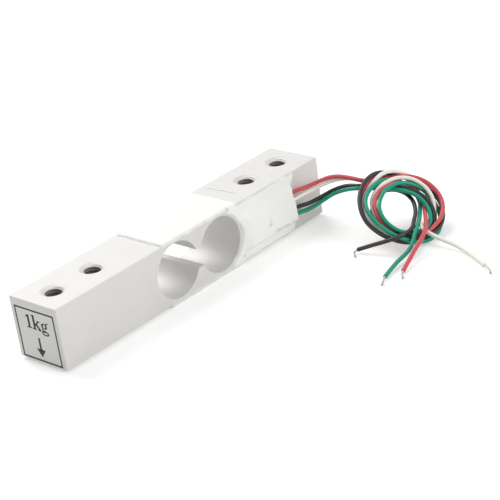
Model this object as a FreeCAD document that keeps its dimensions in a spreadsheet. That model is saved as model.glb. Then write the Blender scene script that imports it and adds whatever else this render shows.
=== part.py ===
import FreeCAD, Part
import math
import os
import Sketcher
from FreeCAD import Placement, Rotation, Vector

# Single point load cell, 1 kg: a bar of aluminium thinned by a double round hole, with a strain
# gauge over each thin place, and four leads soldered to a small board under white silicone.
# Frame: the origin is the centre of the two bolt holes at the fixed end, on the underside.
# +X runs along the bar away from the load end, +Z points up, and the wired side faces -Y.

doc = FreeCAD.newDocument("SinglePointLoadCell")
sheet = doc.addObject("Spreadsheet::Sheet", "Sizes")

SIZES = {
    "beam_length": 75.0,
    "beam_width": 12.7,
    "beam_height": 12.7,
    "beam_edge": 0.2,  # chamfer all round the bar
    "hole_inset": 5.4,  # end of the bar to its first bolt hole
    "hole_pitch": 10.0,
    "tap_drill": 3.3,  # M4 thread, drilled size
    "hole_mouth": 4.5,  # countersink
    "web_thickness": 0.6,  # the thin places, over and under each circle of the double hole
    "cutout_gap": 0.84,  # metal between its two circles, above and below the slot
    "cutout_slot": 4.0,  # height of the slot that joins them
    "gauge_length": 5.0,
    "gauge_width": 3.4,
    "gauge_thickness": 0.08,
    "band_before": 9.6,  # silicone on the top and underside, before the middle of the bar
    "band_after": 11.8,  # and after it
    "band_top": 0.45,
    "band_bottom": 0.5,
    "sheet_thickness": 0.4,  # silicone on the wired side
    "sheet_start": 8.6,  # its first edge, after the middle of the bar
    "sheet_end": 8.4,  # its last edge, before the cable end of the bar
    "sheet_margin": 0.3,  # bare metal left round the double hole
    "lump_thickness": 1.4,  # over the leads and the board
    "lump_length": 17.6,
    "lump_edge": 1.1,  # silicone beyond the outer leads
    "lump_round": 0.9,
    "cover_round": 0.25,
    "board_length": 4.6,
    "board_thickness": 0.5,
    "board_edge": 0.7,  # board beyond the outer leads
    "board_gap": 13.6,  # board to the last edge of the silicone
    "lane_low": 3.5,  # height of the lowest lead on the wired side
    "lane_pitch": 1.7,
    "solder_length": 2.4,
    "solder_width": 1.2,
    "ribbon_width": 0.25,
    "ribbon_thickness": 0.1,
    "ribbon_lane": 0.8,  # first ribbon beside its gauge
    "ribbon_pitch": 0.5,
    "ribbon_inside": 1.85,  # first ribbon over the edge, short of the end of the hole
    "ribbon_edge": 0.4,  # last ribbon below the edge of the bar
    "ribbon_lap": 0.6,  # ribbon on the board
    "tab_offset": 1.3,  # solder tab from the middle of its gauge
    "lead_diameter": 1.0,
    "lead_depth": 0.8,  # middle of a lead from the bar's wired side
    "lead_straight": 4.5,  # straight stretch of a lead before the last edge of the silicone
    "strand_diameter": 0.5,
    "coil_radius": 6.8,
    "coil_spread": 2.5,  # half of the bundle across the coil
    "coil_depth": 1.6,  # half of the bundle through it
    "coil_tilt": 32.0,  # degrees from level
    "coil_lean": -102.0,  # degrees about Z, the way its axis leans
}
for row, (alias, value) in enumerate(SIZES.items(), start=1):
    sheet.set(f"A{row}", alias)
    sheet.set(f"B{row}", str(value))
    sheet.setAlias(f"B{row}", alias)
doc.recompute()

# Places worked out from the sizes, as expressions that every sub-part shares.
BAR_START = "(Sizes.hole_inset + Sizes.hole_pitch / 2 - Sizes.beam_length)"
BAR_END = "(Sizes.hole_inset + Sizes.hole_pitch / 2)"
MIDDLE = "(Sizes.hole_inset + Sizes.hole_pitch / 2 - Sizes.beam_length / 2)"
CUTOUT_RADIUS = "(Sizes.beam_height / 2 - Sizes.web_thickness)"
LOAD_GAUGE = f"({MIDDLE} - {CUTOUT_RADIUS} - Sizes.cutout_gap / 2)"
FIXED_GAUGE = f"({MIDDLE} + {CUTOUT_RADIUS} + Sizes.cutout_gap / 2)"
TOP = "Sizes.beam_height"
SIDE = "(-Sizes.beam_width / 2)"
SHEET_END = f"({BAR_END} - Sizes.sheet_end)"
BAND_END = f"({MIDDLE} + Sizes.band_after)"
BOARD_END = f"({SHEET_END} - Sizes.board_gap + Sizes.board_length)"
LANE_TOP = "(Sizes.lane_low + 3 * Sizes.lane_pitch)"
BOARD_LOW = "(Sizes.lane_low - Sizes.board_edge)"
BOARD_HIGH = f"({LANE_TOP} + Sizes.board_edge)"

COLOURS = ("green", "black", "white", "red")  # from the lowest lead to the highest

# The free part of each lead, from the silicone to the coil. Like the tables after it, it is measured
# from the silicone's last edge along the bar, from the bar's wired side and from its underside.
LEAD_RUNS = {
    "red": [(0.4, -0.85, 8.75), (4.8, -2.15, 9.2), (7.3, -5.75, 10.3), (8.9, -10.25, 10.1),
            (10.4, -14.65, 9.2)],
    "white": [(0.4, -0.8, 7.0), (4.6, -1.75, 7.7), (6.9, -4.85, 9.0), (7.9, -9.25, 9.0),
              (9.1, -14.25, 8.2)],
    "black": [(0.4, -0.8, 5.3), (4.8, -2.45, 6.1), (6.6, -6.05, 7.6), (7.0, -10.25, 8.7),
              (7.6, -14.45, 8.5)],
    "green": [(0.4, -0.8, 3.65), (4.5, -2.85, 5.1), (5.9, -6.75, 6.9), (5.8, -10.95, 8.2),
              (6.4, -15.05, 8.0)],
}
# Each lead from the coil to the end of its insulation.
LEAD_TAILS = {
    "red": [(5.8, -27.25, 2.2), (3.2, -30.45, 2.9), (-0.4, -31.05, 1.4), (-3.4, -31.05, 0.5),
            (-6.5, -31.85, 0.1)],
    "white": [(7.6, -26.85, 1.6), (5.2, -30.25, 2.2), (5.7, -33.25, 0.8), (5.9, -37.05, 0.2),
              (4.2, -41.05, 0.0), (2.3, -45.05, 0.0)],
    "black": [(5.6, -25.25, 2.9), (2.2, -25.85, 3.8), (-0.8, -24.05, 2.8), (-2.3, -21.25, 1.5),
              (-3.6, -18.45, 0.5)],
    "green": [(4.4, -26.85, 2.2), (1.2, -29.05, 2.9), (-2.6, -29.05, 1.2), (-6.6, -29.25, 0.4),
              (-10.3, -30.25, 0.1)],
}
# The tip of each bare, tinned end, which bends a little where it leaves the insulation.
LEAD_TIPS = {
    "red": (-8.6, -33.25, 0.0),
    "white": (1.0, -47.05, -0.1),
    "black": (-5.4, -17.55, 0.0),
    "green": (-12.6, -31.25, 0.0),
}
COIL_CENTRE = (8.8, -20.85, 5.0)
STRAIGHT_STRANDS = 1.2  # bare strands before their bend
TAP_COUNTERSINK = 120  # degrees, the usual mouth of a tapped hole


def value(expression):
    """The number, in mm, that an expression gives with the present sizes."""
    return float(sheet.evalExpression(expression))


def box(name, x, y, z):
    """A box between two planes on each axis, each plane an expression."""
    block = doc.addObject("Part::Box", name)
    for side, at, (low, high) in (("Length", "x", x), ("Width", "y", y), ("Height", "z", z)):
        block.setExpression(side, f"({high}) - ({low})")
        block.setExpression(f".Placement.Base.{at}", low)
    return block


def fuse(name, pieces):
    joined = doc.addObject("Part::MultiFuse", name)
    joined.Shapes = pieces
    joined.Refine = True
    return joined


def cut(name, base, tool):
    result = doc.addObject("Part::Cut", name)
    result.Base, result.Tool = base, tool
    return result


def sketch_on(body, role, name, offset=None):
    """A sketch on one of the body's own origin planes, moved along its normal by an expression."""
    sketch = body.newObject("Sketcher::SketchObject", name)
    plane = next(item for item in body.Origin.OriginFeatures if item.Role == role)
    sketch.AttachmentSupport = [(plane, "")]
    sketch.MapMode = "FlatFace"
    if offset:
        sketch.setExpression(".AttachmentOffset.Base.z", offset)
    return sketch


def hold(sketch, element, point, place):
    """Holds one point of a sketch at two expressions, measured from the sketch's origin."""
    for kind, expression in zip(("DistanceX", "DistanceY"), place):
        index = sketch.addConstraint(Sketcher.Constraint(kind, -1, 1, element, point, 1.0))
        sketch.setExpression(f"Constraints[{index}]", expression)


def outline(sketch, corners):
    """A closed outline of straight sides through corners given as pairs of expressions."""
    count = len(corners)
    turns = [Vector(math.cos(2 * math.pi * i / count), math.sin(2 * math.pi * i / count), 0)
             for i in range(count)]
    for i in range(count):
        sketch.addGeometry(Part.LineSegment(turns[i], turns[(i + 1) % count]))
    for i in range(count):
        sketch.addConstraint(Sketcher.Constraint("Coincident", i, 2, (i + 1) % count, 1))
    for i, corner in enumerate(corners):
        hold(sketch, i, 1, corner)


def rectangle(sketch, low, high):
    outline(sketch, [low, (high[0], low[1]), high, (low[0], high[1])])


def circles(sketch, centres, radius):
    for i, centre in enumerate(centres):
        sketch.addGeometry(Part.Circle(Vector(i, 0, 0), Vector(0, 0, 1), 0.3))
        hold(sketch, i, 3, centre)
        index = sketch.addConstraint(Sketcher.Constraint("Radius", i, 0.3))
        sketch.setExpression(f"Constraints[{index}]", radius)


def pad(body, name, sketch, length, **settings):
    feature = body.newObject("PartDesign::Pad", name)
    feature.Profile = sketch
    feature.setExpression("Length", length)
    for setting, value in settings.items():
        setattr(feature, setting, value)
    return feature


def pocket_through(body, name, sketch):
    feature = body.newObject("PartDesign::Pocket", name)
    feature.Profile = sketch
    feature.Type = "ThroughAll"
    feature.Midplane = True
    return feature


def dress(body, kind, name, base, size, wanted):
    """A fillet or chamfer on the edges of base for which wanted(edge) is true."""
    doc.recompute()
    names = [f"Edge{i}" for i, edge in enumerate(base.Shape.Edges, start=1) if wanted(edge)]
    feature = body.newObject(kind, name)
    feature.Base = (base, names)
    feature.setExpression("Size" if kind.endswith("Chamfer") else "Radius", size)
    return feature


def make_beam():
    """The bar: a chamfered block with its double round hole and four countersunk bolt holes."""
    body = doc.addObject("PartDesign::Body", "beam")
    side = sketch_on(body, "XZ_Plane", "BarSide")
    rectangle(side, (BAR_START, "0"), (BAR_END, TOP))
    bar = pad(body, "Bar", side, "Sizes.beam_width", Midplane=True)
    dress(body, "PartDesign::Chamfer", "BarEdges", bar, "Sizes.beam_edge", lambda edge: True)

    rounds = sketch_on(body, "XZ_Plane", "CutoutRounds")
    circles(rounds, [(LOAD_GAUGE, f"{TOP} / 2"), (FIXED_GAUGE, f"{TOP} / 2")],
            CUTOUT_RADIUS)
    pocket_through(body, "CutoutHoles", rounds)
    slot = sketch_on(body, "XZ_Plane", "CutoutSlot")
    rectangle(slot, (LOAD_GAUGE, f"{TOP} / 2 - Sizes.cutout_slot / 2"),
              (FIXED_GAUGE, f"{TOP} / 2 + Sizes.cutout_slot / 2"))
    pocket_through(body, "CutoutGap", slot)

    bolt_x = [f"{BAR_START} + Sizes.hole_inset", f"{BAR_START} + Sizes.hole_inset + Sizes.hole_pitch",
              "-Sizes.hole_pitch / 2", "Sizes.hole_pitch / 2"]
    for name, height, reverse in (("Top", TOP, False), ("Under", "0", True)):
        spots = sketch_on(body, "XY_Plane", f"Bolts{name}", height)
        circles(spots, [(x, "0") for x in bolt_x], "Sizes.tap_drill / 2")
        doc.recompute()
        holes = body.newObject("PartDesign::Hole", f"BoltHoles{name}")
        holes.Profile = spots
        doc.recompute()
        holes.Reversed = reverse
        holes.DepthType = "ThroughAll"
        holes.HoleCutType = "Countersink"
        holes.HoleCutCountersinkAngle = TAP_COUNTERSINK
        holes.setExpression("Diameter", "Sizes.tap_drill")
        holes.setExpression("HoleCutDiameter", "Sizes.hole_mouth")
    return body


def make_gauges():
    """Four foil gauges, one over each thin place of the bar."""
    gauges = []
    faces = (("top", (TOP, f"{TOP} + Sizes.gauge_thickness")), ("bottom", ("-Sizes.gauge_thickness", "0")))
    for face, z in faces:
        for place, middle in (("load", LOAD_GAUGE), ("fixed", FIXED_GAUGE)):
            x = (f"{middle} - Sizes.gauge_length / 2", f"{middle} + Sizes.gauge_length / 2")
            y = ("-Sizes.gauge_width / 2", "Sizes.gauge_width / 2")
            gauges.append(box(f"gauge_{face}_{place}", x, y, z))
    return gauges


def strip(middle):
    """The two edges of a ribbon about its middle line."""
    return f"{middle} - Sizes.ribbon_width / 2", f"{middle} + Sizes.ribbon_width / 2"


def make_ribbon(name, face, order, tabs):
    """A flat ribbon from the solder tabs of one face, over the edge of the bar to the board."""
    upright = face == "top"
    foil = "Sizes.ribbon_thickness"
    board_face = f"({SIDE} - Sizes.board_thickness)"
    lane = f"(-Sizes.gauge_width / 2 - Sizes.ribbon_lane - {2 - order} * Sizes.ribbon_pitch)"
    drop = f"({FIXED_GAUGE} + {CUTOUT_RADIUS} - Sizes.ribbon_inside + {order} * Sizes.ribbon_pitch)"
    column = f"({BOARD_END} - Sizes.board_length + {order + 1} * Sizes.ribbon_pitch)"
    below = f"(Sizes.ribbon_edge + {2 - order} * Sizes.ribbon_pitch)"
    level = f"({TOP} - {below})" if upright else below
    board_edge = BOARD_HIGH if upright else BOARD_LOW

    def span(near, far):
        """Two heights, lowest first, for the face that the ribbon serves."""
        return (near, far) if upright else (far, near)

    out = "+" if upright else "-"
    inward = "-" if upright else "+"
    on_face = (TOP, f"{TOP} + {foil}") if upright else (f"-{foil}", "0")
    brim = on_face[1] if upright else on_face[0]
    on_side = (f"{SIDE} - {foil}", SIDE)
    lane_low, lane_high = strip(lane)
    parts = [box(f"{name}_tab{i}", strip(tab), (lane_low, "-Sizes.gauge_width / 2"), on_face)
             for i, tab in enumerate(tabs)]
    parts += [
        box(f"{name}_run", (strip(tabs[0])[0], strip(drop)[1]), (lane_low, lane_high), on_face),
        box(f"{name}_across", strip(drop), (on_side[0], lane_high), on_face),
        box(f"{name}_down", strip(drop), on_side,
            span(f"{level} {inward} Sizes.ribbon_width / 2", brim)),
        box(f"{name}_along", (strip(drop)[0], strip(column)[1]), on_side, strip(level)),
        box(f"{name}_meet", strip(column), on_side,
            span(board_edge, f"{level} {out} Sizes.ribbon_width / 2")),
        box(f"{name}_step", strip(column), (f"{board_face} - {foil}", SIDE),
            span(board_edge, f"{board_edge} {out} {foil}")),
        box(f"{name}_lap", strip(column), (f"{board_face} - {foil}", board_face),
            span(f"{board_edge} {inward} Sizes.ribbon_lap", f"{board_edge} {out} {foil}")),
    ]
    return fuse(name, parts)


def make_ribbons():
    """Three ribbons for each face: the bridge's supply ends and the signal between them."""
    ribbons = []
    for face in ("top", "bottom"):
        outer_load = f"({LOAD_GAUGE} - Sizes.tab_offset)"
        inner = [f"({LOAD_GAUGE} + Sizes.tab_offset)", f"({FIXED_GAUGE} - Sizes.tab_offset)"]
        outer_fixed = f"({FIXED_GAUGE} + Sizes.tab_offset)"
        ribbons.append(make_ribbon(f"ribbon_{face}_plus", face, 0, [outer_load]))
        ribbons.append(make_ribbon(f"ribbon_{face}_signal", face, 1, inner))
        ribbons.append(make_ribbon(f"ribbon_{face}_minus", face, 2, [outer_fixed]))
    return ribbons


def make_board():
    return box("terminal_board", (f"{BOARD_END} - Sizes.board_length", BOARD_END),
               (f"{SIDE} - Sizes.board_thickness", SIDE), (BOARD_LOW, BOARD_HIGH))


def make_solder(order, colour):
    """A low dome of solder on the board, with the lead's stripped strands in it."""
    reach, height = sheet.solder_length / 2, sheet.solder_width / 2
    rise = sheet.lead_depth - sheet.board_thickness
    arc = Part.ArcOfEllipse(Part.Ellipse(Vector(), reach, height), 0, math.pi).toShape()
    chord = Part.LineSegment(Vector(-reach, 0, 0), Vector(reach, 0, 0)).toShape()
    dome = Part.Face(Part.Wire([arc, chord])).revolve(Vector(), Vector(1, 0, 0), 180).toNurbs()
    strands = Part.makeCylinder(sheet.strand_diameter / 2, reach, Vector(0, 0, rise), Vector(1, 0, 0))
    solder = doc.addObject("Part::Feature", f"solder_{colour}")
    solder.Shape = dome.fuse(strands)
    solder.Placement = Placement(Vector(), Rotation(Vector(1, 0, 0), 90))
    solder.setExpression(".Placement.Base.x", f"{BOARD_END} - Sizes.solder_length / 2")
    solder.setExpression(".Placement.Base.y", f"{SIDE} - Sizes.board_thickness")
    solder.setExpression(".Placement.Base.z", f"Sizes.lane_low + {order} * Sizes.lane_pitch")
    return solder


def from_exit(point):
    """The place of a point that is measured from the silicone's last edge on the wired side."""
    return Vector(value(SHEET_END), value(SIDE), 0) + Vector(*point)


def route_path(name, points):
    """Straight runs joined by tangent arcs, each as large as its two runs allow."""
    edges, radii, start = [], [], points[0]
    for before, corner, after in zip(points, points[1:], points[2:]):
        back, on = (before - corner).normalize(), (after - corner).normalize()
        reach = 0.45 * min(before.distanceToPoint(corner), after.distanceToPoint(corner))
        half_turn = (math.pi - back.getAngle(on)) / 2
        radius = reach / math.tan(half_turn)
        bisector = (back + on).normalize()
        nearest = corner + bisector * (radius / math.cos(half_turn) - radius)
        arc_start, arc_end = corner + back * reach, corner + on * reach
        edges += [Part.LineSegment(start, arc_start).toShape(), Part.Arc(arc_start, nearest, arc_end).toShape()]
        radii.append(radius)
        start = arc_end
    edges.append(Part.LineSegment(start, points[-1]).toShape())
    wire = Part.Wire(edges)
    print(f"{name}: length {wire.Length:.1f}, radii " + " ".join(f"{radius:.1f}" for radius in radii))
    return wire


def make_tube(name, points, diameter):
    path = route_path(name, points)
    section = Part.Wire(Part.makeCircle(diameter / 2, points[0], points[1] - points[0]))
    tube = doc.addObject("Part::Feature", name)
    tube.Shape = path.makePipeShell([section], True, True)
    expected = math.pi * diameter ** 2 / 4 * path.Length
    if abs(tube.Shape.Volume / expected - 1) > 0.01:
        raise ValueError(f"{name}: volume {tube.Shape.Volume:.3f}, expected {expected:.3f}")
    return tube


def make_coil():
    """The outer shape of the coiled leads: a fat ring that leans on its lower edge."""
    section = doc.addObject("Part::Ellipse", "coil_section")
    section.setExpression("MajorRadius", "Sizes.coil_spread")
    section.setExpression("MinorRadius", "Sizes.coil_depth")
    section.Placement = Placement(Vector(), Rotation(Vector(1, 0, 0), 90))
    section.setExpression(".Placement.Base.x", "Sizes.coil_radius")
    coil = doc.addObject("Part::Revolution", "lead_coil")
    coil.Source = section
    coil.Axis = Vector(0, 0, 1)
    coil.Angle = 360
    coil.Solid = True
    lean = Rotation(Vector(0, 0, 1), sheet.coil_lean) * Rotation(Vector(0, 1, 0), sheet.coil_tilt)
    coil.Placement = Placement(from_exit(COIL_CENTRE), lean)
    return coil


def make_leads(coil):
    """The free stretches of the four leads, each ending on the coil, and their bare ends."""
    nodes = [coil]
    for order, colour in enumerate(COLOURS):
        depth, lane = -sheet.lead_depth, sheet.lane_low + order * sheet.lane_pitch
        joint = from_exit((value(f"{BOARD_END} - {SHEET_END}"), depth, lane))
        inside = [joint, from_exit((-sheet.lead_straight, depth, lane))]
        tail_points = [from_exit(point) for point in LEAD_TAILS[colour]]
        outside = [from_exit(point) for point in LEAD_RUNS[colour]]
        run = make_tube(f"run_{colour}", inside + outside, sheet.lead_diameter)
        tail = make_tube(f"tail_{colour}", tail_points, sheet.lead_diameter)
        nodes.append(cut(f"lead_{colour}_run", run, coil))
        nodes.append(cut(f"lead_{colour}_tail", tail, coil))
        before, start = tail_points[-2:]
        bend = start + (start - before).normalize() * STRAIGHT_STRANDS
        strands = [start, bend, from_exit(LEAD_TIPS[colour])]
        nodes.append(make_tube(f"lead_{colour}_end", strands, sheet.strand_diameter))
    return nodes


def make_cover(inner):
    """White silicone: a band on the top and underside, and a sheet with a lump on the wired side."""
    body = doc.addObject("PartDesign::Body", "cover_outside")
    side_offset = "Sizes.beam_width / 2"
    start = f"({MIDDLE} + Sizes.sheet_start)"
    top, under = f"{TOP} + Sizes.band_top", "-Sizes.band_bottom"
    sheet_top, sheet_under = f"{TOP} - Sizes.beam_edge", "Sizes.beam_edge"
    side = sketch_on(body, "XZ_Plane", "SheetOutline", side_offset)
    outline(side, [(start, under), (BAND_END, under), (BAND_END, sheet_under), (SHEET_END, sheet_under),
                   (SHEET_END, sheet_top), (BAND_END, sheet_top), (BAND_END, top), (start, top)])
    pad(body, "Sheet", side, "Sizes.sheet_thickness")
    round_hole = sketch_on(body, "XZ_Plane", "SheetHole")
    circles(round_hole, [(FIXED_GAUGE, f"{TOP} / 2")], f"{CUTOUT_RADIUS} + Sizes.sheet_margin")
    pocket_through(body, "SheetClearance", round_hole)

    band = (f"{MIDDLE} - Sizes.band_before", f"{SIDE} - Sizes.sheet_thickness")
    band_far = (BAND_END, "Sizes.beam_width / 2 - Sizes.beam_edge")
    upper = sketch_on(body, "XY_Plane", "TopBand", TOP)
    rectangle(upper, band, band_far)
    pad(body, "BandTop", upper, "Sizes.band_top")
    lower = sketch_on(body, "XY_Plane", "UnderBand")
    rectangle(lower, band, band_far)
    last = pad(body, "BandUnder", lower, "Sizes.band_bottom", Reversed=True)

    high, low = value(top), value(under)
    last = dress(body, "PartDesign::Fillet", "BandRounds", last, "Sizes.cover_round",
                 lambda edge: all(abs(v.Z - high) < 1e-6 or abs(v.Z - low) < 1e-6 for v in edge.Vertexes)
                 and abs(edge.Vertexes[0].Z - edge.Vertexes[-1].Z) < 1e-6)

    lump = sketch_on(body, "XZ_Plane", "LumpOutline", side_offset)
    rectangle(lump, (f"{SHEET_END} - Sizes.lump_length", "Sizes.lane_low - Sizes.lump_edge"),
              (SHEET_END, f"{LANE_TOP} + Sizes.lump_edge"))
    last = pad(body, "Lump", lump, "Sizes.lump_thickness")
    face, end = value(f"{SIDE} - Sizes.lump_thickness"), value(SHEET_END)
    dress(body, "PartDesign::Fillet", "LumpRounds", last, "Sizes.lump_round",
          lambda edge: all(abs(v.Y - face) < 1e-6 for v in edge.Vertexes)
          and not all(abs(v.X - end) < 1e-6 for v in edge.Vertexes))

    filled = doc.addObject("Part::Compound", "covered_pieces")
    filled.Links = inner
    return cut("silicone_cover", body, filled)


beam = make_beam()
gauges = make_gauges()
ribbons = make_ribbons()
board = make_board()
joints = [make_solder(order, colour) for order, colour in enumerate(COLOURS)]
leads = make_leads(make_coil())
covered = gauges + ribbons + [board] + joints + [node for node in leads if node.Name.endswith("_run")]
cover = make_cover(covered)
doc.recompute()

nodes = [beam, cover, board] + gauges + ribbons + joints + leads
for item in doc.Objects:
    if {"Invalid", "Error"} & set(item.State):
        raise RuntimeError(f"{item.Name} did not build: {item.State}")
for node in nodes:
    if node.Shape.isNull() or not node.Shape.isValid() or not node.Shape.Solids:
        raise RuntimeError(f"{node.Name} has no valid solid")

os.makedirs("parts", exist_ok=True)
for node in nodes:
    node.Label = node.Name
    node.Shape.exportStep(f"parts/{node.Label}.step")
    bounds = node.Shape.BoundBox
    print(f"{node.Label}: {len(node.Shape.Solids)} solid, {node.Shape.Volume:.3f} mm3, "
          f"x {bounds.XMin:.2f} {bounds.XMax:.2f}, y {bounds.YMin:.2f} {bounds.YMax:.2f}, "
          f"z {bounds.ZMin:.2f} {bounds.ZMax:.2f}")
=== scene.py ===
import math

import bmesh
import bpy
from mathutils import Euler, Matrix, Vector, geometry, kdtree, noise


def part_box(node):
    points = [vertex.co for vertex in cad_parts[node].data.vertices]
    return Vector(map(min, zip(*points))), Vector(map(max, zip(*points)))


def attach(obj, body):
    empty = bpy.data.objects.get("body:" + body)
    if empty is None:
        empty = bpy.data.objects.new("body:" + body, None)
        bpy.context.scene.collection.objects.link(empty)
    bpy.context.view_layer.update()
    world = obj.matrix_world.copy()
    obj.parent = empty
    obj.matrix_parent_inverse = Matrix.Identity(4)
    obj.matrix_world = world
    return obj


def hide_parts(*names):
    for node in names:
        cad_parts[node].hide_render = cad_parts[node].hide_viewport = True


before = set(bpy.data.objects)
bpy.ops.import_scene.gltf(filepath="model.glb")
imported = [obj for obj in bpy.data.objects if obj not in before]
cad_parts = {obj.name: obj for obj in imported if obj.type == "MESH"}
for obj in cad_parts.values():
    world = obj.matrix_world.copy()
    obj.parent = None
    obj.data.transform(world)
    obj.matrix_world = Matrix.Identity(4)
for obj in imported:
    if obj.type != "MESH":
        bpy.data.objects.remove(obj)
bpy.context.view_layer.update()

mm = 0.001  # lengths are in millimetres until a piece is finished
barLow, barHigh = (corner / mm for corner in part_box("beam"))
barMiddle = (barLow + barHigh) / 2
halfHeight = (barHigh.z - barLow.z) / 2


def link(name, data):
    piece = bpy.data.objects.new(name, data)
    bpy.context.scene.collection.objects.link(piece)
    return piece


def meshPiece(name, bm, smooth=True):
    bmesh.ops.scale(bm, verts=bm.verts, vec=(mm, mm, mm))
    mesh = bpy.data.meshes.new(name)
    bm.to_mesh(mesh)
    bm.free()
    mesh.polygons.foreach_set("use_smooth", [smooth] * len(mesh.polygons))
    return link(name, mesh)


def finishPiece(piece, material, replaced=()):
    piece.data.materials.clear()
    piece.data.materials.append(material)
    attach(piece, "root")
    if replaced:
        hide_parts(*replaced)
    return piece


def gentle(share):
    share = min(1, max(0, share))
    return share * share * (3 - 2 * share)


def addNode(tree, kind, inputs=None, **settings):
    node = tree.nodes.new(kind)
    for key, value in settings.items():
        setattr(node, key, value)
    for key, value in (inputs or {}).items():
        if isinstance(value, bpy.types.NodeSocket):
            tree.links.new(value, node.inputs[key])
        else:
            node.inputs[key].default_value = value
    return node


def newMaterial(name):
    material = bpy.data.materials.new(name)
    material.use_nodes = True
    tree = material.node_tree
    tree.nodes.clear()
    shader = tree.nodes.new("ShaderNodeBsdfPrincipled")
    addNode(tree, "ShaderNodeOutputMaterial", {"Surface": shader.outputs["BSDF"]})
    return material, shader


# camera, lamps and floor
cameraLook = {
    "place": (-227.08, -215.83, 142.66),  # mm
    "turn": (64.545, 7.465, -49.147),  # degrees
    "lens": 118.07,
}
studio = {
    "floorHeight": -0.52,  # mm, just under the bar
    "floorSize": 6.0,  # metres
    "floorGrey": 0.86,
    "floorGlow": 0.34,  # what brings the lit floor up to white
    "worldLevel": 0.47,
    "target": (-0.02, 0.0, 0.0),  # metres, as the lamps are
    "lamps": {"overhead": ((0.06, 0.36, 0.48), 0.5, 2.3), "front": ((0.05, -0.6, 0.3), 0.4, 1.66)},
}


def placeCamera():
    camera = link("camera", bpy.data.cameras.new("camera"))
    camera.data.lens = cameraLook["lens"]
    camera.data.sensor_width = 36
    camera.data.clip_start = 0.01
    camera.location = Vector(cameraLook["place"]) * mm
    camera.rotation_euler = Euler([math.radians(angle) for angle in cameraLook["turn"]])
    bpy.context.scene.camera = camera
    bpy.context.scene.view_settings.view_transform = "Standard"


def seenDirectly(tree):
    # 1 for the rays that come straight from the camera, off metal or through glass
    path = tree.nodes.new("ShaderNodeLightPath")
    seen = path.outputs["Is Camera Ray"]
    for ray in ("Is Glossy Ray", "Is Transmission Ray"):
        either = addNode(tree, "ShaderNodeMath", {0: seen, 1: path.outputs[ray]}, operation="MAXIMUM")
        seen = either.outputs[0]
    return seen


def makeFloor():
    bm = bmesh.new()
    bmesh.ops.create_grid(bm, x_segments=2, y_segments=2, size=studio["floorSize"] / 2 / mm)
    bmesh.ops.translate(bm, verts=bm.verts, vec=(0, 0, studio["floorHeight"]))
    floor = meshPiece("floor", bm, smooth=False)
    material, shader = newMaterial("floorPaper")
    shader.inputs["Base Color"].default_value = (*[studio["floorGrey"]] * 3, 1)
    shader.inputs["Roughness"].default_value = 0.9
    shader.inputs["Specular IOR Level"].default_value = 0.1
    shader.inputs["Emission Color"].default_value = (1, 1, 1, 1)
    tree = material.node_tree
    glow = addNode(tree, "ShaderNodeMath", {0: seenDirectly(tree), 1: studio["floorGlow"]},
                   operation="MULTIPLY")
    tree.links.new(glow.outputs[0], shader.inputs["Emission Strength"])
    floor.data.materials.append(material)


def makeWorld():
    world = bpy.data.worlds.new("studio")
    bpy.context.scene.world = world
    world.use_nodes = True
    tree = world.node_tree
    tree.nodes.clear()
    white = (1, 1, 1, 1)
    ambient = addNode(tree, "ShaderNodeBackground", {"Color": white, "Strength": studio["worldLevel"]})
    backdrop = addNode(tree, "ShaderNodeBackground", {"Color": white, "Strength": 1.0})
    mix = addNode(tree, "ShaderNodeMixShader", {0: seenDirectly(tree), 1: ambient.outputs[0],
                                                2: backdrop.outputs[0]})
    addNode(tree, "ShaderNodeOutputWorld", {"Surface": mix.outputs[0]})


def makeLamps():
    for name, (place, size, power) in studio["lamps"].items():
        lamp = bpy.data.lights.new(name, "AREA")
        lamp.shape = "DISK"
        lamp.size = size
        lamp.energy = power
        piece = link(name, lamp)
        piece.location = place
        piece.rotation_euler = (Vector(studio["target"]) - Vector(place)).to_track_quat("-Z", "Y").to_euler()


placeCamera()
makeFloor()
makeWorld()
makeLamps()
print("studio ready")


# fine grain with broad mottling, for every material on the load cell
def makeGrainGroup():
    tree = bpy.data.node_groups.new("fineGrain", "ShaderNodeTree")
    for name, value in {"Scale": 4000.0, "Speckle": 0.3}.items():
        tree.interface.new_socket(name, in_out="INPUT", socket_type="NodeSocketFloat").default_value = value
    for name in ("Height", "Tone"):
        tree.interface.new_socket(name, in_out="OUTPUT", socket_type="NodeSocketFloat")
    given = tree.nodes.new("NodeGroupInput")
    place = tree.nodes.new("ShaderNodeTexCoord").outputs["Object"]
    grain = addNode(tree, "ShaderNodeTexNoise", {"Vector": place, "Scale": given.outputs["Scale"],
                                                 "Detail": 3.0, "Roughness": 0.6})
    broad = addNode(tree, "ShaderNodeMath", {0: given.outputs["Scale"], 1: 0.06}, operation="MULTIPLY")
    mottle = addNode(tree, "ShaderNodeTexNoise", {"Vector": place, "Scale": broad.outputs[0],
                                                  "Detail": 4.0, "Roughness": 0.55})
    tone = addNode(tree, "ShaderNodeMix", {0: given.outputs["Speckle"], 2: mottle.outputs["Fac"],
                                           3: grain.outputs["Fac"]})
    spread = addNode(tree, "ShaderNodeMapRange", {"Value": tone.outputs[0], "From Min": 0.3, "From Max": 0.7})
    addNode(tree, "NodeGroupOutput", {"Height": grain.outputs["Fac"], "Tone": spread.outputs[0]})
    return tree


grainGroup = makeGrainGroup()


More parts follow.
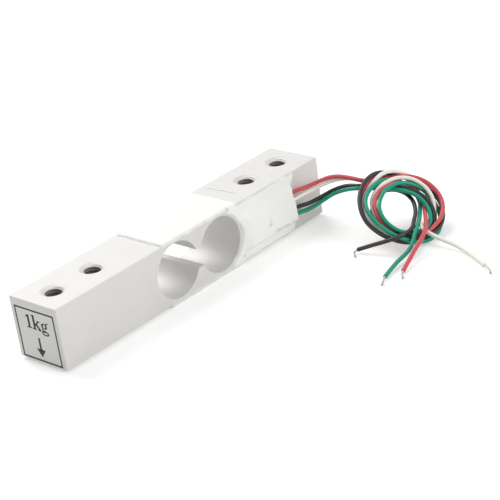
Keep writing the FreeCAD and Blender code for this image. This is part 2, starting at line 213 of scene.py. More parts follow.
# a material from a look: colour and roughness, how far each varies, its grain and any plain values
def grained(name, look):
    material, shader = newMaterial(name)
    tree = material.node_tree
    grain = addNode(tree, "ShaderNodeGroup", node_tree=grainGroup)
    grain.inputs["Scale"].default_value = look["scale"]
    grain.inputs["Speckle"].default_value = look.get("speckle", 0.3)
    dark, light = ([min(1, channel * (1 + vary)) for channel in look["colour"]]
                   for vary in (-look["vary"], look["vary"]))
    blend = addNode(tree, "ShaderNodeMix", {0: grain.outputs["Tone"], 6: (*dark, 1), 7: (*light, 1)},
                    data_type="RGBA")
    if "tint" in look:  # a second colour where the mesh's attribute says so
        attribute, colour = look["tint"]
        mask = addNode(tree, "ShaderNodeAttribute", attribute_name=attribute)
        blend = addNode(tree, "ShaderNodeMix", {0: mask.outputs["Fac"], 6: blend.outputs[2], 7: (*colour, 1)},
                        data_type="RGBA")
    tree.links.new(blend.outputs[2], shader.inputs["Base Color"])
    low, high = (look["rough"] + side * look["roughVary"] for side in (-1, 1))
    rough = addNode(tree, "ShaderNodeMapRange", {"Value": grain.outputs["Tone"],
                                                 "To Min": low, "To Max": high})
    tree.links.new(rough.outputs[0], shader.inputs["Roughness"])
    relief = addNode(tree, "ShaderNodeBump", {"Height": grain.outputs["Height"], "Strength": look["bump"],
                                              "Distance": 0.02 * mm})
    tree.links.new(relief.outputs[0], shader.inputs["Normal"])
    for socket, value in look.get("plain", {}).items():
        shader.inputs[socket].default_value = value
    return material


# The four leads. Each starts in the silicone, winds round the coil and ends in bare strands. Its turns are
# angle in degrees, distance from the coil's axis and lift along it in mm, at places all the way round.
leads = {
    "diameter": 0.88,
    "gap": 0.9,  # between the middles of two leads that touch
    "coilMiddle": (10.8, -27.2, 5.0),
    "coilAxis": (-0.110, -0.518, 0.848),
    "coilAcross": (0.978, -0.208, 0),  # where its angles start
    "pointsPerTurn": 16,
    "passes": 160,  # of settling
    "force": 1.4,  # of each push
    "evening": 0.3,  # how far a push is shared with the points beside it
    "pull": 0.99,  # how much of a shift is kept in each pass
    "held": 3,  # points of each lead that the silicone holds
    "ownSpans": 4,  # a lead doesn't push itself within so many spans
    "look": {"vary": 0.06, "scale": 2500, "bump": 0.15, "rough": 0.38, "roughVary": 0.05,
             "plain": {"Specular IOR Level": 0.45}},
}
redLead = {
    "colour": (0.60, 0.075, 0.085),
    "length": 162,
    "run": [(-7.0, -6.98, 8.6), (-2.5, -6.98, 8.6), (2.4, -7.05, 8.6), (4.6, -7.6, 8.4), (7.2, -9.2, 9.1),
            (8.8, -11.6, 10.1), (9.8, -15.0, 10.1), (10.3, -18.6, 9.8)],
    "turns": [(88, 9.0, -0.9), (69, 8.6, -0.7), (56, 8.5, 0.0), (45, 8.4, 0.6), (30, 8.5, 1.0),
              (-4, 8.6, 1.0), (-30, 8.4, 0.9), (-65, 7.8, 0.6), (-85, 7.8, 0.1), (-120, 8.0, -0.5),
              (-155, 8.2, -0.9), (-180, 8.6, -0.6), (-204, 8.4, -0.3), (-239, 8.3, -0.1), (-262, 8.5, 0.2),
              (-275, 8.7, 0.0), (-300, 8.7, -0.7), (-360, 8.7, -0.9), (-420, 8.0, -0.8), (-470, 7.3, -0.8),
              (-500, 7.0, -0.5), (-525, 7.0, 0.1), (-555, 6.4, 0.7), (-577, 5.8, 0.8), (-601, 5.2, 0.8),
              (-638, 5.5, 0.5), (-662, 6.7, 0.0), (-690, 6.9, -0.5), (-718, 6.0, -0.6), (-745, 4.8, -0.2),
              (-775, 4.9, 0.4), (-800, 6.2, 0.9)],
    "tail": [(8.8, -34.3, 2.2), (5.1, -36.0, 1.9), (2.6, -36.2, 1.2), (-0.4, -36.9, 0.5), (-4.6, -38.2, 0.1)],
    "tip": ((-6.1, -38.8, 0.05), (-6.9, -39.8, 0.0)),  # the bend and the end of its bare strands
}
whiteLead = {
    "colour": (0.90, 0.885, 0.80),
    "length": 163,
    "run": [(-7.0, -6.98, 6.9), (-2.5, -6.98, 6.9), (2.4, -7.05, 7.0), (4.4, -7.5, 7.2), (6.8, -8.9, 7.9),
            (8.5, -11.2, 9.1), (10.0, -14.5, 9.8), (10.6, -18.1, 9.5)],
    "turns": [(95, 9.0, -1.2), (82, 8.4, -1.4), (50, 8.0, -1.7), (0, 7.4, -1.8), (-45, 7.6, -1.5),
              (-90, 8.0, -1.0), (-130, 8.0, -0.9), (-165, 8.4, -0.1), (-183, 8.3, -0.3), (-200, 7.9, -0.8),
              (-225, 7.8, -0.8), (-245, 7.8, -0.2), (-260, 8.0, 0.3), (-271, 8.3, 0.7), (-282, 8.6, 0.8),
              (-299, 8.8, 0.6), (-312, 8.9, 0.1), (-330, 8.9, -0.4), (-370, 8.0, -1.3), (-420, 7.8, -0.8),
              (-470, 7.0, -0.3), (-510, 7.0, -0.2), (-545, 6.7, 0.0), (-571, 6.4, 0.1), (-601, 6.0, 0.2),
              (-638, 6.1, 0.6), (-668, 7.0, 1.0), (-690, 7.7, 1.1), (-720, 7.4, 1.0), (-752, 7.1, 0.6),
              (-775, 6.9, 0.1), (-795, 6.4, 0.3)],
    "tail": [(9.7, -32.8, 2.2), (8.6, -33.9, 1.9), (8.4, -36.1, 1.5), (8.4, -38.6, 1.0), (8.5, -41.3, 0.5),
             (8.1, -43.6, 0.2), (7.0, -46.2, 0.1), (4.6, -50.9, 0.0)],
    "tip": ((3.6, -52.6, 0.05), (2.2, -53.8, 0.0)),
}
blackLead = {
    "colour": (0.022, 0.021, 0.020),
    "length": 157,
    "run": [(-7.0, -6.98, 5.2), (-2.5, -6.98, 5.2), (2.4, -7.05, 5.0), (4.6, -7.6, 4.6), (6.8, -9.2, 5.4),
            (8.0, -12.0, 7.2), (8.4, -15.6, 8.7), (8.6, -18.6, 9.0)],
    "turns": [(103, 8.3, -0.9), (94, 7.3, -0.7), (82, 6.1, -0.3), (66, 4.9, 0.4), (45, 4.7, 0.8),
              (24, 4.8, 0.9), (-5, 5.2, 1.0), (-26, 5.7, 0.9), (-49, 6.4, 0.6), (-75, 7.5, 0.0),
              (-110, 8.5, -0.5), (-144, 8.8, -0.3), (-169, 9.3, 0.0), (-190, 9.4, 0.3), (-214, 9.0, 0.6),
              (-240, 8.9, 0.8), (-262, 8.9, 0.8), (-280, 9.0, 0.3), (-300, 8.6, -0.3), (-322, 7.9, -0.3),
              (-345, 8.1, -0.2), (-374, 8.4, 0.0), (-403, 8.5, -0.1), (-430, 8.2, -0.2), (-465, 8.0, 0.2),
              (-500, 7.2, -0.4), (-540, 6.3, -0.5), (-600, 5.4, -0.4), (-640, 6.2, -1.2), (-665, 5.9, -1.1),
              (-683, 5.1, -0.8), (-705, 3.8, -0.3), (-730, 2.9, 0.2), (-760, 2.7, 0.3), (-790, 3.3, 0.5)],
    "tail": [(9.5, -31.2, 3.2), (7.2, -32.5, 2.8), (3.9, -33.0, 3.0), (0.9, -31.1, 2.6), (0.0, -27.7, 1.4),
             (-1.3, -24.6, 0.3)],
    "tip": ((-2.9, -24.6, 0.05), (-3.4, -25.6, 0.0)),
}
greenLead = {
    "colour": (0.001, 0.30, 0.185),
    "length": 154,
    "run": [(-7.0, -6.98, 3.5), (-2.5, -6.98, 3.5), (2.4, -7.05, 3.6), (4.5, -7.7, 3.4), (6.4, -9.6, 4.7),
            (7.4, -12.6, 6.9), (7.7, -16.0, 8.4), (8.0, -19.0, 9.1)],
    "turns": [(106, 8.0, -1.0), (83, 5.8, -0.4), (66, 4.6, 0.3), (48, 4.1, 0.6), (17, 3.9, 0.9),
              (-20, 4.2, 0.9), (-46, 5.2, 0.9), (-74, 6.9, 0.5), (-100, 7.4, 0.6), (-130, 7.6, 1.0),
              (-165, 6.9, 1.3), (-183, 6.3, 1.4), (-200, 5.5, 1.4), (-227, 4.7, 1.4), (-271, 4.6, 1.2),
              (-307, 5.6, 0.9), (-330, 6.4, 0.5), (-345, 6.9, 0.0), (-370, 7.6, -0.6), (-395, 8.2, -1.0),
              (-427, 8.6, -0.8), (-448, 8.8, -0.6), (-480, 8.8, 0.2), (-505, 8.6, 0.9), (-533, 8.3, 1.0),
              (-570, 8.2, 1.0), (-587, 7.7, 1.0), (-609, 7.2, 1.0), (-638, 7.4, 0.7), (-660, 8.0, 0.2),
              (-685, 7.5, -0.8), (-710, 6.2, -1.0), (-731, 4.6, -0.4), (-755, 4.0, 0.0), (-780, 4.1, 0.3),
              (-810, 5.4, 0.8)],
    "tail": [(6.4, -33.6, 2.5), (4.4, -34.4, 1.8), (2.5, -35.1, 1.2), (0.4, -35.1, 0.6), (-3.0, -35.1, 0.2),
             (-8.2, -36.5, 0.1)],
    "tip": ((-9.5, -37.1, 0.05), (-11.1, -37.9, 0.0)),
}
leadOf = {"red": redLead, "white": whiteLead, "black": blackLead, "green": greenLead}


def turnPoints(keys):
    axis = Vector(leads["coilAxis"]).normalized()
    across = Vector(leads["coilAcross"])
    across = (across - axis * across.dot(axis)).normalized()
    up = axis.cross(across)
    step = 360 / leads["pointsPerTurn"]
    shrink = 0.75 + 0.25 * math.cos(math.radians(step))  # a NURBS line runs inside its points
    count = round((keys[0][0] - keys[-1][0]) / step)
    points = []
    for i in range(count + 1):
        angle = keys[0][0] - (keys[0][0] - keys[-1][0]) * i / count
        first = max(k for k in range(len(keys) - 1) if keys[k][0] >= angle - 1e-6)
        (highAngle, highRadius, highLift), (lowAngle, lowRadius, lowLift) = keys[first], keys[first + 1]
        share = (highAngle - angle) / (highAngle - lowAngle)
        radius = (highRadius + (lowRadius - highRadius) * share) / shrink
        lift = highLift + (lowLift - highLift) * share
        turn = math.radians(angle)
        spoke = across * math.cos(turn) + up * math.sin(turn)
        points.append(Vector(leads["coilMiddle"]) + spoke * radius + axis * lift)
    return points


# places close together along every lead, each with its lead, its span and the weights of the span's points
def lineSamples(routes, perSpan=6):
    samples = []
    for colour, route in routes.items():
        for i in range(1, len(route) - 1):
            for step in range(perSpan):
                share = (step + 0.5) / perSpan
                weights = ((1 - share) ** 2 / 2, 0.5 + share - share * share, share * share / 2)
                place = sum((point * weight for point, weight in zip(route[i - 1:i + 2], weights)), Vector())
                samples.append((place, colour, i, weights))
    return samples


# how far the leads that touch push the points of each other
def leadPushes(routes):
    samples = lineSamples(routes)
    tree = kdtree.KDTree(len(samples))
    for k, sample in enumerate(samples):
        tree.insert(sample[0], k)
    tree.balance()
    pushes = {}
    for place, colour, i, weights in samples:
        for other, k, distance in tree.find_range(place, leads["gap"]):
            otherColour, otherSpan = samples[k][1:3]
            if otherColour == colour and abs(otherSpan - i) < leads["ownSpans"]:
                continue
            push = (place - other).normalized() * (leads["gap"] - distance) / 2
            for spot, weight in zip((i - 1, i, i + 1), weights):
                total = pushes.setdefault((colour, spot), [Vector(), 0])
                total[0] += push * weight
                total[1] += weight
    return pushes


# touching leads push each other aside, as each is drawn back to its own way and kept above the floor
def settle(routes):
    goals = {colour: [point.copy() for point in route] for colour, route in routes.items()}
    held = leads["held"]
    for turn in range(leads["passes"]):
        for (colour, spot), (push, weight) in leadPushes(routes).items():
            if spot >= held:
                routes[colour][spot] += push / weight * leads["force"]
        for colour, route in routes.items():
            shift = [point - goal for point, goal in zip(route, goals[colour])]
            for i in range(held, len(route) - 1):
                even = (shift[i - 1] + shift[i] * 2 + shift[i + 1]) / 4
                route[i] = goals[colour][i] + shift[i].lerp(even, leads["evening"]) * leads["pull"]
                route[i].z = max(route[i].z, 0)


def makeLead(colour, route):
    curve = bpy.data.curves.new(f"lead_{colour}", "CURVE")
    curve.dimensions = "3D"
    curve.bevel_depth = leads["diameter"] / 2 * mm
    curve.bevel_resolution = 4
    curve.use_fill_caps = True
    spline = curve.splines.new("NURBS")
    spline.points.add(len(route) - 1)
    for spot, point in zip(spline.points, route):
        spot.co = (*(point * mm), 1)
    spline.order_u = 3
    spline.use_endpoint_u = True
    spline.resolution_u = 6
    piece = link(f"lead_{colour}", curve)
    nodes = [f"lead_{colour}_run", f"lead_{colour}_tail"]
    if colour == "green":
        nodes.append("lead_coil")
    insulation = grained(f"{colour}Insulation", {**leads["look"], "colour": leadOf[colour]["colour"]})
    return finishPiece(piece, insulation, nodes)


strands = {
    "count": 6,  # round one in the middle
    "diameter": 0.17,
    "turns": 1.6,  # along the bare end
    "steps": 14,
    "tucked": 0.4,  # how far they start inside the insulation
    "straight": 0.9,  # how strongly they keep the lead's heading
    "apart": 1.02,  # in diameters, from the middle one
    "loose": 0.25,  # how far they spread at the tip
    "look": {"colour": (0.56, 0.55, 0.53), "vary": 0.08, "scale": 6000, "bump": 0.25, "rough": 0.34,
             "roughVary": 0.08, "plain": {"Metallic": 0.8}},
}
tinnedCopper = grained("tinnedCopper", strands["look"])


def makeStrands(colour, route):
    bend, tip = (Vector(point) for point in leadOf[colour]["tip"])
    heading = (route[-1] - route[-2]).normalized()
    last = strands["steps"] - 1
    start, ahead = route[-1] - heading * strands["tucked"], route[-1] + heading * strands["straight"]
    line = geometry.interpolate_bezier(start, ahead, bend, tip, strands["steps"])
    curve = bpy.data.curves.new(f"strands_{colour}", "CURVE")
    curve.dimensions = "3D"
    curve.bevel_depth = strands["diameter"] / 2 * mm
    curve.bevel_resolution = 2
    curve.use_fill_caps = True
    for strand in range(strands["count"] + 1):
        spline = curve.splines.new("POLY")
        spline.points.add(last)
        reach = 0 if strand == strands["count"] else strands["diameter"] * strands["apart"]
        for i, (spot, point) in enumerate(zip(spline.points, line)):
            along = (line[min(i + 1, last)] - line[max(i - 1, 0)]).normalized()
            side = along.cross(Vector((0, 0, 1))).normalized()
            turn = 2 * math.pi * (strand / strands["count"] + strands["turns"] * i / last)
            spread = 1 + strands["loose"] * (i / last) ** 3
            around = side * math.cos(turn) + along.cross(side) * math.sin(turn)
            spot.co = (*((point + around * reach * spread) * mm), 1)
    piece = link(f"strands_{colour}", curve)
    return finishPiece(piece, tinnedCopper, [f"lead_{colour}_end"])


routes = {}
for colour, lead in leadOf.items():
    routes[colour] = [Vector(point) for point in lead["run"] + turnPoints(lead["turns"]) + lead["tail"]]
settle(routes)
for colour, route in routes.items():
    cord = makeLead(colour, route)
    bare = makeStrands(colour, route)
print("leads laid")


bar = {
    "edge": 0.2,
    "holePitch": 10.0,
    "holeInset": 5.4,  # end of the bar to its first bolt hole
    "drill": 3.3,
    "thread": 4.0,
    "threadPitch": 0.7,
    "mouth": 5.1,
    "mouthAngle": 120,
    "web": 0.6,  # metal over and under the cut-out
    "gap": 0.84,  # metal between its circles
    "slot": 4.0,
    "rimEdge": 0.1,
    "over": 1.0,  # how far the cutting tools reach past the bar
    "shade": (-0.12, 1.3),  # depths in a hole where the painted shade starts and is darkest
    # the bore tint is painted shade, darkening the bolt holes' walls and countersinks the deeper they lie
    "look": {"colour": (0.70, 0.69, 0.67), "vary": 0.045, "scale": 3200, "bump": 0.5, "rough": 0.52,
             "roughVary": 0.06, "speckle": 0.6, "tint": ("painted_bore_shade", (0.24, 0.23, 0.22)),
             "plain": {"Metallic": 0.2}},
}
cutoutRadius = halfHeight - bar["web"]
cutoutReach = cutoutRadius + bar["gap"] / 2  # middle of the bar to the middle of a circle
holePlaces = [end + side * (bar["holeInset"] + further) for end, side in ((barLow.x, 1), (barHigh.x, -1))
              for further in (0, bar["holePitch"])]


# spins a line of (radius, height) points about Z
def spinProfile(bm, profile, steps, turns=1, rise=0.0):
    verts = [bm.verts.new((radius, 0, height)) for radius, height in profile]
    edges = [bm.edges.new(pair) for pair in zip(verts, verts[1:])]
    whole = turns == 1 and not rise
    bmesh.ops.spin(bm, geom=verts + edges, axis=(0, 0, 1), cent=(0, 0, 0), dvec=(0, 0, rise / steps),
                   angle=2 * math.pi * turns, steps=steps * turns, use_merge=whole, use_duplicate=False)
    bmesh.ops.remove_doubles(bm, verts=bm.verts, dist=1e-4)


def copiesOf(source, places):
    mesh = bpy.data.meshes.new("copied")
    source.to_mesh(mesh)
    source.free()
    bm = bmesh.new()
    for place in places:
        before = set(bm.verts)
        bm.from_mesh(mesh)
        bmesh.ops.transform(bm, matrix=place, verts=[vert for vert in bm.verts if vert not in before])
    bpy.data.meshes.remove(mesh)
    return bm


# a screw of the full thread, a little longer than the bar is high
def threadTool():
    bm = bmesh.new()
    pitch, crest, root, over = bar["threadPitch"], bar["drill"] / 2, bar["thread"] / 2, 0.3
    profile = [(crest, 0), (crest, pitch / 4), (root, pitch * 9 / 16), (root, pitch * 11 / 16),
               (crest, pitch)]
    turns = math.ceil(2 * halfHeight / pitch) + 3
    spinProfile(bm, profile, 32, turns, pitch)
    bmesh.ops.translate(bm, verts=bm.verts, vec=(0, 0, barLow.z - 2 * pitch))
    for height, side in ((barLow.z - over, -1), (barHigh.z + over, 1)):
        bmesh.ops.bisect_plane(bm, geom=bm.verts[:] + bm.edges[:] + bm.faces[:], plane_co=(0, 0, height),
                               plane_no=(0, 0, side), clear_outer=True)
        rim = [edge for edge in bm.edges if edge.is_boundary
               and all(abs(vert.co.z - height) < 1e-4 for vert in edge.verts)]
        bmesh.ops.holes_fill(bm, edges=rim, sides=0)
    bmesh.ops.recalc_face_normals(bm, faces=bm.faces)
    return bm


# a countersink with its face at the height zero
def mouthTool():
    bm = bmesh.new()
    mouth, inner, over = bar["mouth"] / 2, bar["drill"] / 2 - 0.1, 0.3
    slope = math.tan(math.radians(bar["mouthAngle"] / 2))
    depth = (mouth - inner) / slope
    spinProfile(bm, [(0, -depth), (inner, -depth), (mouth + over * slope, over), (0, over)], 48)
    bmesh.ops.recalc_face_normals(bm, faces=bm.faces)
    return bm


# one circle of the cut-out along Y, wider past the bar so that its rims come out broken
def roundTool():
    bm = bmesh.new()
    half, over = (barHigh.y - barLow.y) / 2, bar["over"]
    wall = [(cutoutRadius + over, half + over), (cutoutRadius, half - bar["rimEdge"])]
    spinProfile(bm, [(0, half + over)] + wall + [(radius, -height) for radius, height in reversed(wall)]
                + [(0, -half - over)], 128)
    bmesh.ops.rotate(bm, verts=bm.verts, cent=(0, 0, 0), matrix=Matrix.Rotation(math.pi / 2, 3, "X"))
    bmesh.ops.recalc_face_normals(bm, faces=bm.faces)
    return bm


def boxTool(low, high):
    bm = bmesh.new()
    bmesh.ops.create_cube(bm, size=1)
    bmesh.ops.scale(bm, verts=bm.verts, vec=Vector(high) - Vector(low))
    bmesh.ops.translate(bm, verts=bm.verts, vec=(Vector(low) + Vector(high)) / 2)
    return bm


def cutAway(piece, bm):
    tool = meshPiece("tool", bm)
    cut = piece.modifiers.new("cut", "BOOLEAN")
    cut.operation, cut.solver, cut.object = "DIFFERENCE", "EXACT", tool
    done = bpy.data.meshes.new_from_object(piece.evaluated_get(bpy.context.evaluated_depsgraph_get()))
    piece.modifiers.clear()
    piece.data = done
    bpy.data.objects.remove(tool)


# 0 to 1: painted shade on each face in a bolt hole, darker the deeper it lies
def paintShadeInBores(mesh):
    painted_bore_shade = mesh.attributes.new("painted_bore_shade", "FLOAT", "FACE")
    start, end = bar["shade"]
    for face in mesh.polygons:
        x, y, z = face.center / mm
        depth = min(barHigh.z - z, z - barLow.z)
        inHole = depth > 0.01 and any(math.hypot(x - hole, y) < bar["mouth"] / 2 for hole in holePlaces)
        painted_bore_shade.data[face.index].value = gentle((depth - start) / (end - start)) if inHole else 0


def makeBar():
    bm = boxTool(barLow, barHigh)
    bmesh.ops.bevel(bm, geom=bm.edges[:], offset=bar["edge"], segments=3, profile=0.5, affect="EDGES",
                    material=-1)
    piece = meshPiece("load_bar", bm)
    rounds = [Matrix.Translation((barMiddle.x + side * cutoutReach, 0, barMiddle.z)) for side in (-1, 1)]
    cutAway(piece, copiesOf(roundTool(), rounds))
    half, over = bar["slot"] / 2, bar["over"]
    cutAway(piece, boxTool((barMiddle.x - cutoutReach, barLow.y - over, barMiddle.z - half),
                           (barMiddle.x + cutoutReach, barHigh.y + over, barMiddle.z + half)))
    cutAway(piece, copiesOf(threadTool(), [Matrix.Translation((x, 0, 0)) for x in holePlaces]))
    mouths = [Matrix.Translation((x, 0, z)) @ Matrix.Rotation(turn, 4, "X") for x in holePlaces
              for z, turn in ((barHigh.z, 0), (barLow.z, math.pi))]
    cutAway(piece, copiesOf(mouthTool(), mouths))
    piece.data.name = "load_bar"
    paintShadeInBores(piece.data)
    piece.data.polygons.foreach_set("use_smooth", [True] * len(piece.data.polygons))
    piece.data.set_sharp_from_angle(angle=math.radians(32))
    piece.modifiers.new("even", "WEIGHTED_NORMAL").keep_sharp = True
    return piece


finishPiece(makeBar(), grained("blastedAluminium", bar["look"]), ["beam"])
print("bar cut")


# Printed on the end face: (across, up) points in mm, then the width at each. A ring has its middle, its
# two radii and its widths at the sides and at the top.
marking = {
    "ink": 0.012,  # thickness
    "line": 0.36,
    "frame": (-5.2, 5.1, 0.5, 10.9),  # left, right, low, high
    "strokes": {
        "one": [([(-1.95, 7.15), (-1.95, 9.8)], [0.58, 0.58]), ([(-2.65, 9.25), (-2.0, 9.68)], [0.2, 0.32]),
                ([(-2.65, 7.14), (-1.25, 7.14)], [0.24, 0.24])],
        "k": [([(-0.5, 7.05), (-0.5, 10.0)], [0.56, 0.56]), ([(-1.05, 9.9), (-0.3, 9.93)], [0.2, 0.24]),
              ([(-1.05, 7.09), (0.0, 7.09)], [0.22, 0.22]), ([(-0.35, 7.95), (0.75, 8.85)], [0.28, 0.28]),
              ([(0.25, 8.88), (1.15, 8.88)], [0.2, 0.2]), ([(0.0, 8.25), (0.95, 7.1)], [0.5, 0.52]),
              ([(0.45, 7.09), (1.35, 7.09)], [0.22, 0.22])],
        "ear": [([(2.7, 8.72), (3.0, 8.98), (3.3, 8.95)], [0.2, 0.26, 0.32])],
        "link": [([(1.8, 7.75), (1.55, 7.5), (1.8, 7.25), (2.5, 7.15)], [0.22, 0.28, 0.36, 0.4])],
        "arrowShaft": [([(0.0, 5.35), (0.0, 2.6)], [0.5, 0.56])],
        "arrowHead": [([(0.0, 2.95), (0.0, 1.28)], [2.5, 0.0])],
    },
    "rings": {"bowl": ((2.2, 8.28), (0.55, 0.5), 0.5, 0.24), "loop": ((2.3, 6.78), (0.8, 0.34), 0.34, 0.26)},
    "look": {"colour": (0.018, 0.017, 0.016), "vary": 0.25, "scale": 6000, "bump": 0.2, "rough": 0.6,
             "roughVary": 0.06},
}
pencilMark = {
    "line": [(-11.9, 4.6), (-11.55, 3.3), (-11.7, 2.0), (-11.35, 0.7), (-11.5, -0.6), (-11.2, -1.9),
             (-11.25, -3.1)],
    "widths": [0.03, 0.09, 0.07, 0.16, 0.14, 0.1, 0.03],
    "thickness": 0.012,
    "look": {"colour": (0.22, 0.21, 0.20), "vary": 0.25, "scale": 6000, "bump": 0.2, "rough": 0.5,
             "roughVary": 0.06},
}


# a flat stroke through points, as wide as said at each
def layStroke(bm, points, widths):
    points = [Vector(point) for point in points]
    rows = []
    for i, (point, width) in enumerate(zip(points, widths)):
        along = (points[min(i + 1, len(points) - 1)] - points[max(i - 1, 0)]).normalized()
        side = Vector((-along.y, along.x)) * width / 2
        rows.append([bm.verts.new((*(point + side), 0)), bm.verts.new((*(point - side), 0))])
    for before, after in zip(rows, rows[1:]):
        bm.faces.new((before[0], before[1], after[1], after[0]))


# gives flat strokes a thickness, a third of it sunk in the metal
def thicken(bm, thickness):
    made = bmesh.ops.extrude_face_region(bm, geom=bm.faces[:], use_keep_orig=True)
    raised = [item for item in made["geom"] if isinstance(item, bmesh.types.BMVert)]
    bmesh.ops.translate(bm, verts=raised, vec=(0, 0, thickness))
    bmesh.ops.translate(bm, verts=bm.verts, vec=(0, 0, -thickness / 3))
    bmesh.ops.recalc_face_normals(bm, faces=bm.faces)


def layRing(bm, centre, radii, sides, top):
    turns = [2 * math.pi * i / 32 for i in range(33)]
    layStroke(bm, [(centre[0] + radii[0] * math.cos(turn), centre[1] + radii[1] * math.sin(turn))
                   for turn in turns],
              [top + (sides - top) * math.cos(turn) ** 2 for turn in turns])


def makeMarking():
    bm = bmesh.new()
    for strokes in marking["strokes"].values():
        for points, widths in strokes:
            layStroke(bm, points, widths)
    for ring in marking["rings"].values():
        layRing(bm, *ring)
    left, right, low, high = marking["frame"]
    half = marking["line"] / 2
    for points in ([(left - half, low), (right + half, low)], [(left - half, high), (right + half, high)],
                   [(left, low), (left, high)], [(right, low), (right, high)]):
        layStroke(bm, points, [marking["line"]] * 2)
    thicken(bm, marking["ink"])
    # across is -Y, up is Z and out of the face is -X
    onFace = Matrix(((0, 0, -1, barLow.x), (-1, 0, 0, 0), (0, 1, 0, barLow.z), (0, 0, 0, 1)))
    bmesh.ops.transform(bm, matrix=onFace, verts=bm.verts)
    return meshPiece("rating_mark", bm, smooth=False)


def makePencilMark():
    bm = bmesh.new()
    layStroke(bm, pencilMark["line"], pencilMark["widths"])
    thicken(bm, pencilMark["thickness"])
    bmesh.ops.translate(bm, verts=bm.verts, vec=(0, 0, barHigh.z))
    return meshPiece("pencil_mark", bm, smooth=False)


finishPiece(makeMarking(), grained("blackInk", marking["look"]))
finishPiece(makePencilMark(), grained("graphite", pencilMark["look"]))
print("marking printed")


# Silicone spread round the bar: a place on it is x along the bar and v round it, in mm from the middle of
# the side with the leads.
silicone = {
    "cell": 0.2,  # between points of its surface
    "corner": 0.3,  # how it turns round the bar's edges
    "sunk": 0.15,  # its inner face, in the metal
    "band": (-36.7, -15.3),  # round the whole bar
    "sheetStart": -18.5,
    "sheetEnd": [(0.25, 0.9), (3.4, 1.4), (5.6, 1.3), (8.9, 0.7), (12.5, 2.3)],  # height and place
    "top": 0.45,
    "under": 0.5,
    "side": 0.4,
    "soft": 0.4,  # width of its rounded edge
    "holeMargin": 0.3,
    "edgeMargin": 0.25,  # bar's edge to where the band gives way to the sheet
    "backMargin": 0.7,
    "lip": 0.12,  # how far its edge dips into the metal
    "ragged": {  # how far each edge wanders, its seed and how quickly
        "bandStart": (0.12, 1.0, 1.0), "bandEnd": (0.2, 2.0, 1.0), "bandSide": (0.15, 3.0, 0.7),
        "bandBack": (0.15, 8.0, 1.0), "sheetStart": (0.3, 4.0, 1.0), "sheetEnd": (0.2, 5.0, 1.4),
        "sheetSide": (0.1, 6.0, 0.6), "hole": (0.12, 7.0, 1.0), "streak": (0.3, 11.0, 0.5),
    },
    "lumpStart": -15.6,
    "lump": (1.9, 10.9),  # its lower and upper side
    "lumpRise": 1.05,
    "lumpSoft": (3.0, 0.9, 2.2),  # its slopes at the start, below and above
    "wave": 0.035,
    "rimShade": 0.4,  # of the painted shade along its thin rounded rim
    "rimWidth": 0.45,
    "speckShade": 0.9,
    "streakShade": 0.55,
    "specks": [(-18.1, 12.6, 0.45), (-24.6, 12.5, 0.4), (-15.2, 1.3, 0.45)],  # place, height, size
    "streaks": [((-7.4, 3.3), (1.4, 2.7), 0.3), ((-8.4, 5.0), (-6.6, 5.3), 0.3),
                ((-7.8, 6.0), (-6.9, 6.2), 0.3)],  # start, end, width
    # the tint is painted shade along the silicone's thin rim, and also darkens its grit and streaks
    "look": {"colour": (0.93, 0.93, 0.895), "vary": 0.02, "scale": 1500, "bump": 0.3, "rough": 0.42,
             "roughVary": 0.06, "tint": ("grit_and_painted_shade", (0.50, 0.51, 0.49)),
             "plain": {"Subsurface Weight": 0.15, "Subsurface Radius": (0.0008, 0.0008, 0.0007),
                       "Subsurface Scale": 1.0}},
}


# the place in space of x and v, some way above the metal
def aroundBar(x, v, lift):
    corner = silicone["corner"]
    straight = halfHeight - corner
    sign = 1 if v > 0 else -1
    past = abs(v) - straight
    if past <= 0:
        return Vector((x, barLow.y - lift, barMiddle.z + v))
    turn = min(past / corner, math.pi / 2)
    y = barLow.y + corner - corner * math.cos(turn) + max(0, past - corner * math.pi / 2)
    z = sign * (straight + corner * math.sin(turn))
    return Vector((x, y - math.cos(turn) * lift, barMiddle.z + z + sign * math.sin(turn) * lift))


def ragged(edge, value):
    reach, seed, size = silicone["ragged"][edge]
    return reach * noise.noise(Vector((value * size, seed, 0.5)))


def softStep(depth, width):
    share = min(1, max(0, depth / width))
    return math.sqrt(1 - (1 - share) ** 2)


def sheetEndAt(height):
    edge = silicone["sheetEnd"]
    for (low, lowX), (high, highX) in zip(edge, edge[1:]):
        if height <= high or (high, highX) == edge[-1]:
            return lowX + (highX - lowX) * gentle((height - low) / (high - low))


# how far inside the silicone's outline a place is, below zero outside
def siliconeDepth(x, v):
    cornerExtra = silicone["corner"] * (math.pi / 2 - 1)
    around = cornerExtra + halfHeight + barHigh.y - barLow.y - silicone["backMargin"]
    side = halfHeight - silicone["edgeMargin"]
    bandStart, bandEnd = silicone["band"]
    beforeEnd = bandEnd + ragged("bandEnd", v) - x
    pastStart = x - silicone["sheetStart"] - ragged("sheetStart", v)
    band = min(x - bandStart - ragged("bandStart", v), beforeEnd, abs(v) - side - ragged("bandSide", x),
               around + ragged("bandBack", x) - abs(v))
    joint = min(pastStart, beforeEnd, around - abs(v))
    sheet = min(pastStart, sheetEndAt(barMiddle.z + v) + ragged("sheetEnd", v) - x,
                side + 0.1 + ragged("sheetSide", x) - abs(v))
    fromHole = x - barMiddle.x - cutoutReach
    wander = ragged("hole", math.atan2(v, fromHole) * 3)
    hole = math.hypot(fromHole, v) - cutoutRadius - silicone["holeMargin"] - wander
    return min(max(band, joint, sheet), hole)


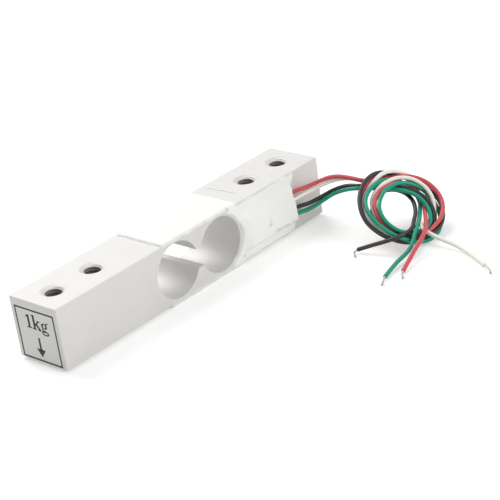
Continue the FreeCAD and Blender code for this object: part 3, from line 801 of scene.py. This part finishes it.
def siliconeLift(x, v):
    depth = siliconeDepth(x, v)
    if depth < 0:
        return max(depth, -silicone["lip"])
    share = min(1, max(0, (abs(v) - halfHeight + 0.3) / 0.6))
    rest = silicone["top"] if v > 0 else silicone["under"]
    lift = (silicone["side"] + (rest - silicone["side"]) * share) * softStep(depth, silicone["soft"])
    height = barMiddle.z + v
    low, high = silicone["lump"]
    if abs(v) < halfHeight:
        slopes = zip((x - silicone["lumpStart"], height - low, high - height), silicone["lumpSoft"])
        lump = silicone["lumpRise"] * math.prod(gentle(reach / soft) for reach, soft in slopes)
        lift += lump * softStep(depth, 0.7)
    if v > -halfHeight:
        lift += silicone["wave"] * noise.noise(Vector((x * 0.35, v * 0.35, 3.0))) * softStep(depth, 1)
    return lift


# 0 to 1: painted shade along the thin rim, specks of grit and darker streaks
def siliconeGritAndShade(x, v):
    height = barMiddle.z + v
    # painted shade along the silicone's thin rounded rim
    rim = silicone["rimShade"] * (1 - gentle(siliconeDepth(x, v) / silicone["rimWidth"]))
    grit_and_painted_shade = rim * (0.7 + 0.5 * noise.noise(Vector((x * 0.5, v * 0.5, 9.0))))
    for spotX, spotHeight, size in silicone["specks"]:
        away = math.hypot(x - spotX, height - spotHeight) / size
        grit_and_painted_shade = max(grit_and_painted_shade, silicone["speckShade"] * (1 - gentle(away)))
    for start, end, width in silicone["streaks"]:
        share = (x - start[0]) / (end[0] - start[0])
        if 0 < share < 1:
            middle = start[1] + (end[1] - start[1]) * share + ragged("streak", x)
            patchy = 0.8 + noise.noise(Vector((x * 0.9, v, 4.0)))
            strength = silicone["streakShade"] * gentle(share * 5) * gentle((1 - share) * 3) * patchy
            grit_and_painted_shade = max(grit_and_painted_shade, strength * (1 - gentle(abs(height - middle) / width / 2)))
    return min(1, max(0, grit_and_painted_shade))


# a grid laid out flat, trimmed to the outline, thickened and then wrapped round the bar
def makeSilicone():
    bm = bmesh.new()
    reach = halfHeight + barHigh.y - barLow.y
    spare, trim = 0.6, 0.2  # grid past the outline, and what of it is left on
    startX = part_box("silicone_cover")[0].x / mm - spare
    endX = max(edge[1] for edge in silicone["sheetEnd"]) + spare
    columns, rows = (round(length / silicone["cell"]) for length in (endX - startX, 2 * reach))
    grit_and_painted_shade = bm.verts.layers.float.new("grit_and_painted_shade")
    bmesh.ops.create_grid(bm, x_segments=columns, y_segments=rows, size=0.5)
    bmesh.ops.scale(bm, verts=bm.verts, vec=(endX - startX, 2 * reach, 1))
    bmesh.ops.translate(bm, verts=bm.verts, vec=((startX + endX) / 2, 0, 0))
    outside = [face for face in bm.faces if all(siliconeDepth(*vert.co.xy) < -trim for vert in face.verts)]
    bmesh.ops.delete(bm, geom=outside, context="FACES")
    made = bmesh.ops.extrude_face_region(bm, geom=bm.faces[:], use_keep_orig=True)
    outer = {item for item in made["geom"] if isinstance(item, bmesh.types.BMVert)}
    for vert in bm.verts:
        x, v = vert.co.xy
        vert[grit_and_painted_shade] = siliconeGritAndShade(x, v)
        vert.co = aroundBar(x, v, siliconeLift(x, v) if vert in outer else -silicone["sunk"])
    bmesh.ops.recalc_face_normals(bm, faces=bm.faces)
    return meshPiece("silicone_coat", bm)


finishPiece(makeSilicone(), grained("whiteSilicone", silicone["look"]), ["silicone_cover"])
print("silicone spread")


# the finishes of what lies under the silicone
hiddenLooks = {
    "board": {"colour": (0.02, 0.10, 0.05), "rough": 0.45},
    "gauge": {"colour": (0.45, 0.16, 0.02), "rough": 0.35},
    "ribbon": {"colour": (0.62, 0.28, 0.14), "rough": 0.3, "plain": {"Metallic": 1.0}},
    "solder": {"colour": (0.56, 0.56, 0.57), "rough": 0.25, "plain": {"Metallic": 1.0}},
}
hiddenGrain = {"vary": 0.08, "scale": 5000, "bump": 0.2, "roughVary": 0.04}
hiddenFinish = {name: grained(f"{name}Finish", {**hiddenGrain, **look}) for name, look in hiddenLooks.items()}
for name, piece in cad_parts.items():
    kind = "board" if name.startswith("terminal") else name.split("_")[0]
    if kind in hiddenFinish:
        piece.data.materials.clear()
        piece.data.materials.append(hiddenFinish[kind])
print("hidden parts coloured")
